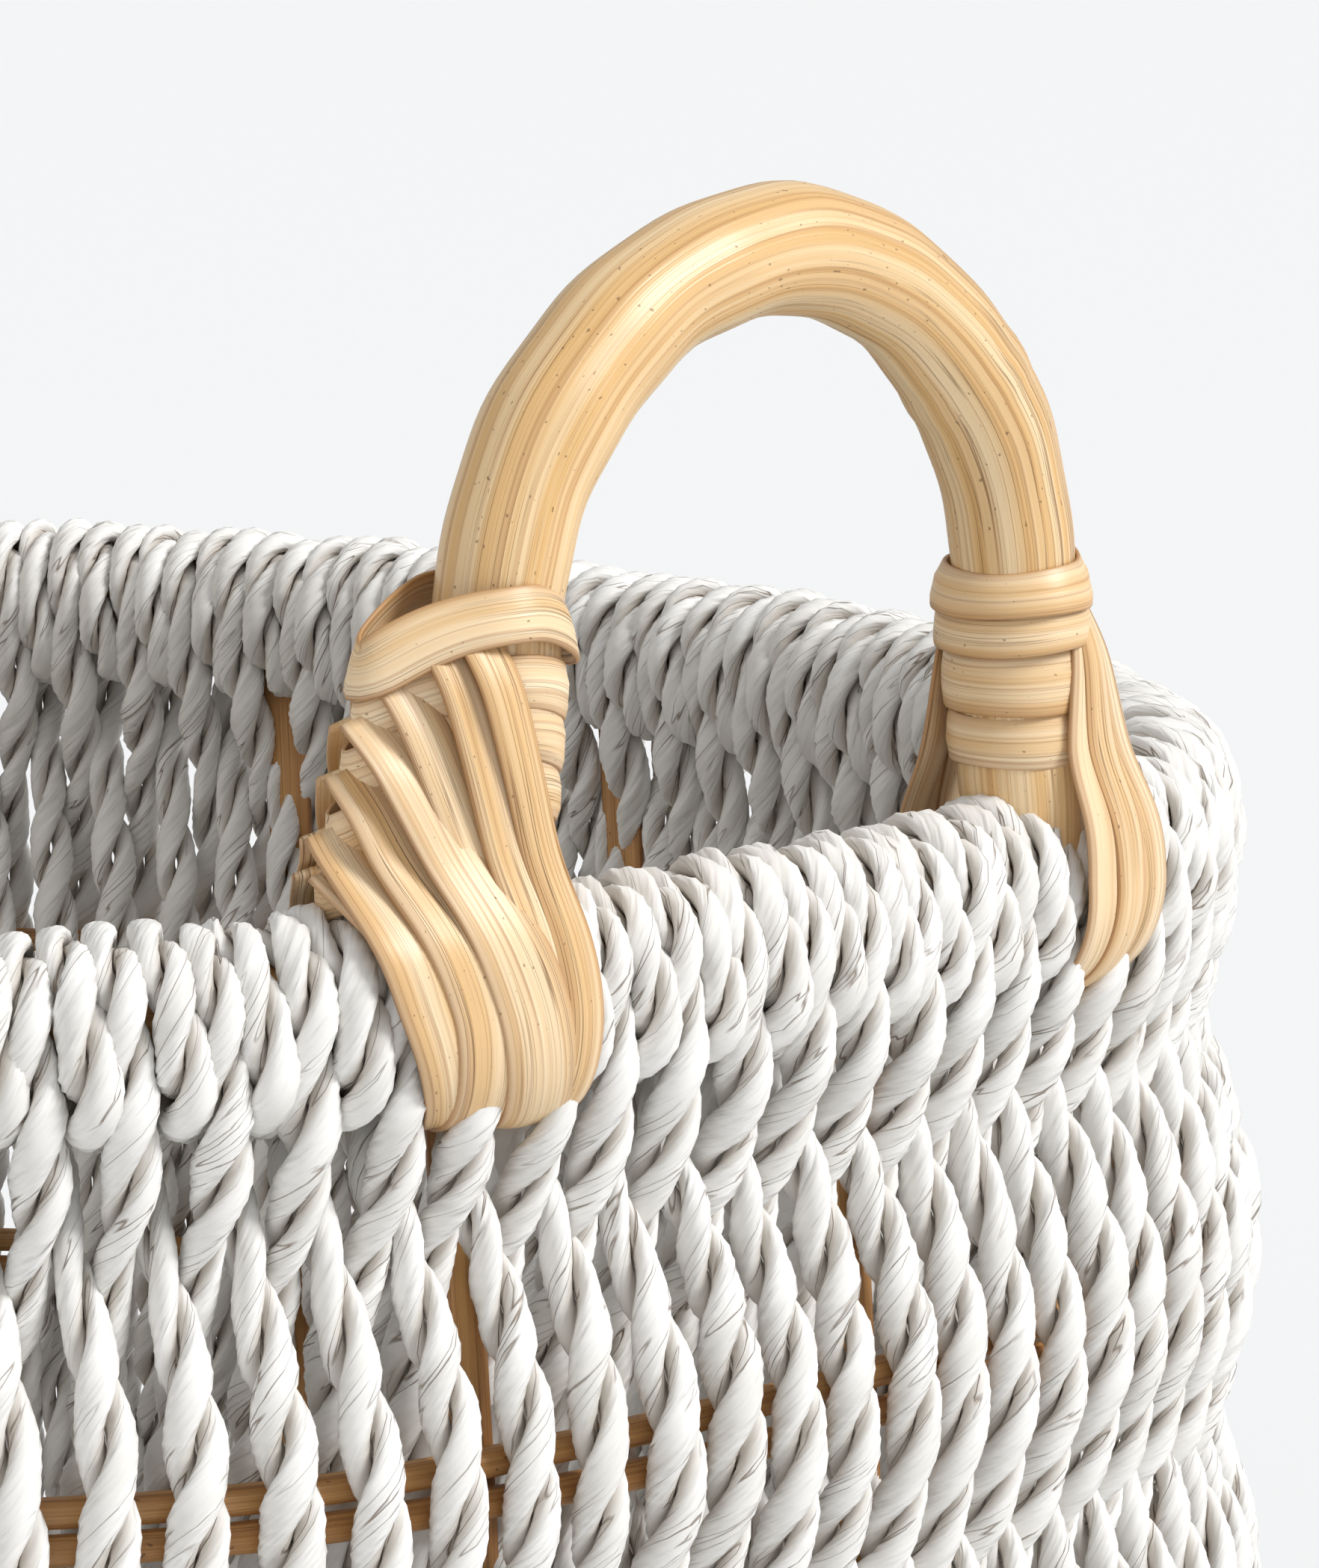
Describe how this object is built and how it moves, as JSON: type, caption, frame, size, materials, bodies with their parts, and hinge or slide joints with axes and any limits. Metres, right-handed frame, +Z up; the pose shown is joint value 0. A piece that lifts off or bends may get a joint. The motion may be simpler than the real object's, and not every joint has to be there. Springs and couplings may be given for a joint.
{
  "type": "woven laundry basket",
  "caption": "Open laundry basket woven from white twisted paper rope on a rattan frame, with a bent cane handle on each of two opposite walls.",
  "frame": {"origin": "middle of the basket, on the surface that it stands on", "axes": "+Z up, +X from the middle to one handle, +Y along a handle wall"},
  "size_m": [0.462, 0.434, 0.4187],
  "materials": {
    "paper_rope": "matt white twisted paper rope",
    "rattan": "raw brown rattan, matt",
    "handle_cane": "peeled honey-coloured cane, satin",
    "flat_cane": "split flat cane, satin on its skin side"
  },
  "bodies": {
    "root": {"rim_hoop": "rattan", "base_hoop": "rattan", "ring_1_upper_rod": "rattan", "ring_1_lower_rod": "rattan", "ring_2_upper_rod": "rattan", "ring_2_lower_rod": "rattan", "ring_3_upper_rod": "rattan", "ring_3_lower_rod": "rattan", "rim_ropes_right": "paper_rope", "wall_ropes_right": "paper_rope", "rim_ropes_back_right": "paper_rope", "wall_ropes_back_right": "paper_rope", "rim_ropes_back": "paper_rope", "wall_ropes_back": "paper_rope", "rim_ropes_back_left": "paper_rope", "wall_ropes_back_left": "paper_rope", "rim_ropes_left": "paper_rope", "wall_ropes_left": "paper_rope", "rim_ropes_front_left": "paper_rope", "wall_ropes_front_left": "paper_rope", "rim_ropes_front": "paper_rope", "wall_ropes_front": "paper_rope", "rim_ropes_front_right": "paper_rope", "wall_ropes_front_right": "paper_rope", "base_edge_ropes_right": "paper_rope", "stakes_right": "rattan", "base_edge_ropes_back": "paper_rope", "stakes_back": "rattan", "base_edge_ropes_left": "paper_rope", "stakes_left": "rattan", "base_edge_ropes_front": "paper_rope", "stakes_front": "rattan", "base_rods": "rattan", "base_ropes": "paper_rope", "handle_right": "handle_cane", "handle_left": "handle_cane", "bindings_right_front": "flat_cane", "outer_strips_right_front": "flat_cane", "inner_strips_right_front": "flat_cane", "braid_right_front": "flat_cane", "bindings_right_back": "flat_cane", "outer_strips_right_back": "flat_cane", "inner_strips_right_back": "flat_cane", "bindings_left_front": "flat_cane", "outer_strips_left_front": "flat_cane", "inner_strips_left_front": "flat_cane", "bindings_left_back": "flat_cane", "outer_strips_left_back": "flat_cane", "inner_strips_left_back": "flat_cane", "braid_left_back": "flat_cane"}
  },
  "joints": []
}
